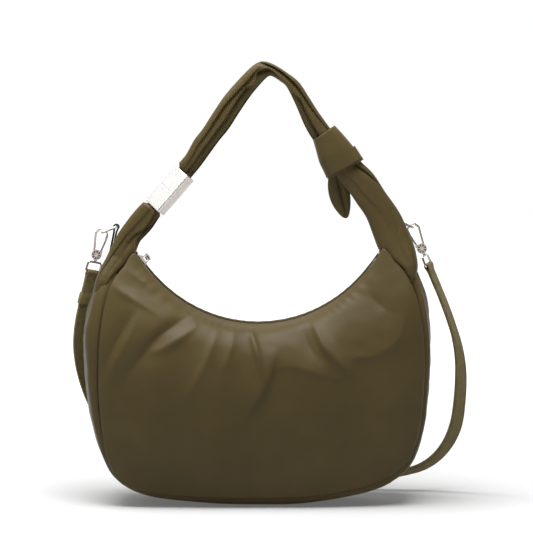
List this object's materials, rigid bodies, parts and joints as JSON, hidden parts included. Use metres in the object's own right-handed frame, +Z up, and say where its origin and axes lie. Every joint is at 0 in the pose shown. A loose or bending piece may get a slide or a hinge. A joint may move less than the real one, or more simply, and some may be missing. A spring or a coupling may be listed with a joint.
{
  "type": "hobo bag",
  "caption": "Crescent nylon hobo bag with a knotted gathered handle, metal slide on the handle, zipped mouth and clip-on crossbody strap.",
  "frame": {"origin": "centre of the bag's footprint on the surface it stands on", "axes": "+Z up, +X to the right seen from the front, the front faces -Y"},
  "size_m": [0.3953, 0.127, 0.4404],
  "materials": {
    "nylon": "satin olive nylon",
    "lining": "plain weave lining",
    "zip_tape": "herringbone zip tape",
    "zip_metal": "bright nickel",
    "webbing": "ribbed webbing",
    "black_webbing": "black webbing",
    "polished_metal": "polished nickel plate",
    "nickel": "polished nickel"
  },
  "bodies": {
    "root": {"front_panel": "nylon", "back_panel": "nylon", "left_gusset": "nylon", "bottom_gusset": "nylon", "right_gusset": "nylon", "front_lining": "lining", "back_lining": "lining", "slip_pocket": "lining", "front_zip_tape": "zip_tape", "back_zip_tape": "zip_tape", "front_zip_teeth": "zip_metal", "back_zip_teeth": "zip_metal", "zip_stops": "zip_metal", "left_ring_tab": "black_webbing", "right_ring_tab": "black_webbing"},
    "handle": {"handle_strap": "nylon", "handle_right_leg": "nylon", "knot_wrap": "nylon"},
    "slide": {"handle_slide": "polished_metal"},
    "tail": {"knot_tail": "nylon"},
    "zip_slider": {"zip_slider": "zip_metal"},
    "zip_pull": {"zip_pull": "zip_metal"},
    "left_d_ring": {"left_d_ring": "nickel"},
    "right_d_ring": {"right_d_ring": "nickel"},
    "strap": {"strap_webbing": "webbing", "strap_adjuster": "nickel", "left_strap_end": "webbing", "right_strap_end": "webbing", "left_strap_ring": "nickel", "right_strap_ring": "nickel"},
    "keeper": {"strap_keeper": "webbing"},
    "left_hook": {"left_hook_frame": "nickel", "left_hook_cap": "nickel", "left_gate_pin": "nickel"},
    "left_gate": {"left_hook_gate": "nickel"},
    "right_hook": {"right_hook_frame": "nickel", "right_hook_cap": "nickel", "right_gate_pin": "nickel"},
    "right_gate": {"right_hook_gate": "nickel"}
  },
  "joints": [
    {"name": "handle_fold", "type": "hinge", "parent": "root", "child": "handle", "pos_m": [0, 0, 0.252], "axis": [1, 0, 0], "range_deg": [-10, 30]},
    {"name": "slide_along_handle", "type": "slide", "parent": "handle", "child": "slide", "axis": [0.6561, 0, 0.7547], "range_m": [-0.006, 0.006]},
    {"name": "tail_swing", "type": "hinge", "parent": "handle", "child": "tail", "pos_m": [0.0745, 0.0125, 0.3205], "axis": [0.8789, 0, 0.4771], "range_deg": [0, 60]},
    {"name": "zip_travel", "type": "hinge", "parent": "root", "child": "zip_slider", "pos_m": [0.001, 0, 0.315], "axis": [0, -1, 0], "range_deg": [0, 116]},
    {"name": "pull_flip", "type": "hinge", "parent": "zip_slider", "child": "zip_pull", "pos_m": [-0.10968, 0, 0.2453], "axis": [0.5329, 0, -0.8462], "range_deg": [0, 170]},
    {"name": "strap_swing", "type": "hinge", "parent": "root", "child": "strap", "pos_m": [-0.1565, 0.022, 0.2693], "axis": [0.9999, 0, 0.0166], "range_deg": [0, 38]},
    {"name": "keeper_slide", "type": "slide", "parent": "strap", "child": "keeper", "axis": [0.2351, 0, 0.972], "range_m": [-0.002, 0.012]},
    {"name": "left_ring_swing", "type": "hinge", "parent": "root", "child": "left_d_ring", "pos_m": [-0.142, 0.022, 0.275], "axis": [0, -1, 0], "range_deg": [0, 6]},
    {"name": "left_hook_swivel", "type": "hinge", "parent": "strap", "child": "left_hook", "pos_m": [-0.1565, 0.022, 0.2693], "axis": [0.2351, 0, 0.972], "range_deg": [-12, 12]},
    {"name": "left_gate_open", "type": "hinge", "parent": "left_hook", "child": "left_gate", "pos_m": [-0.15788, 0.022, 0.24957], "axis": [0, -1, 0], "range_deg": [0, 20], "stiffness_Nm_per_rad": 0.01, "springref_deg": -5.73},
    {"name": "right_ring_swing", "type": "hinge", "parent": "root", "child": "right_d_ring", "pos_m": [0.143, 0.022, 0.281], "axis": [0, 1, 0], "range_deg": [0, 6]},
    {"name": "right_hook_swivel", "type": "hinge", "parent": "strap", "child": "right_hook", "pos_m": [0.157, 0.022, 0.2745], "axis": [-0.3907, 0, 0.9205], "range_deg": [-12, 12]},
    {"name": "right_gate_open", "type": "hinge", "parent": "right_hook", "child": "right_gate", "pos_m": [0.16158, 0.022, 0.25526], "axis": [0, 1, 0], "range_deg": [0, 20], "stiffness_Nm_per_rad": 0.01, "springref_deg": -5.73}
  ]
}
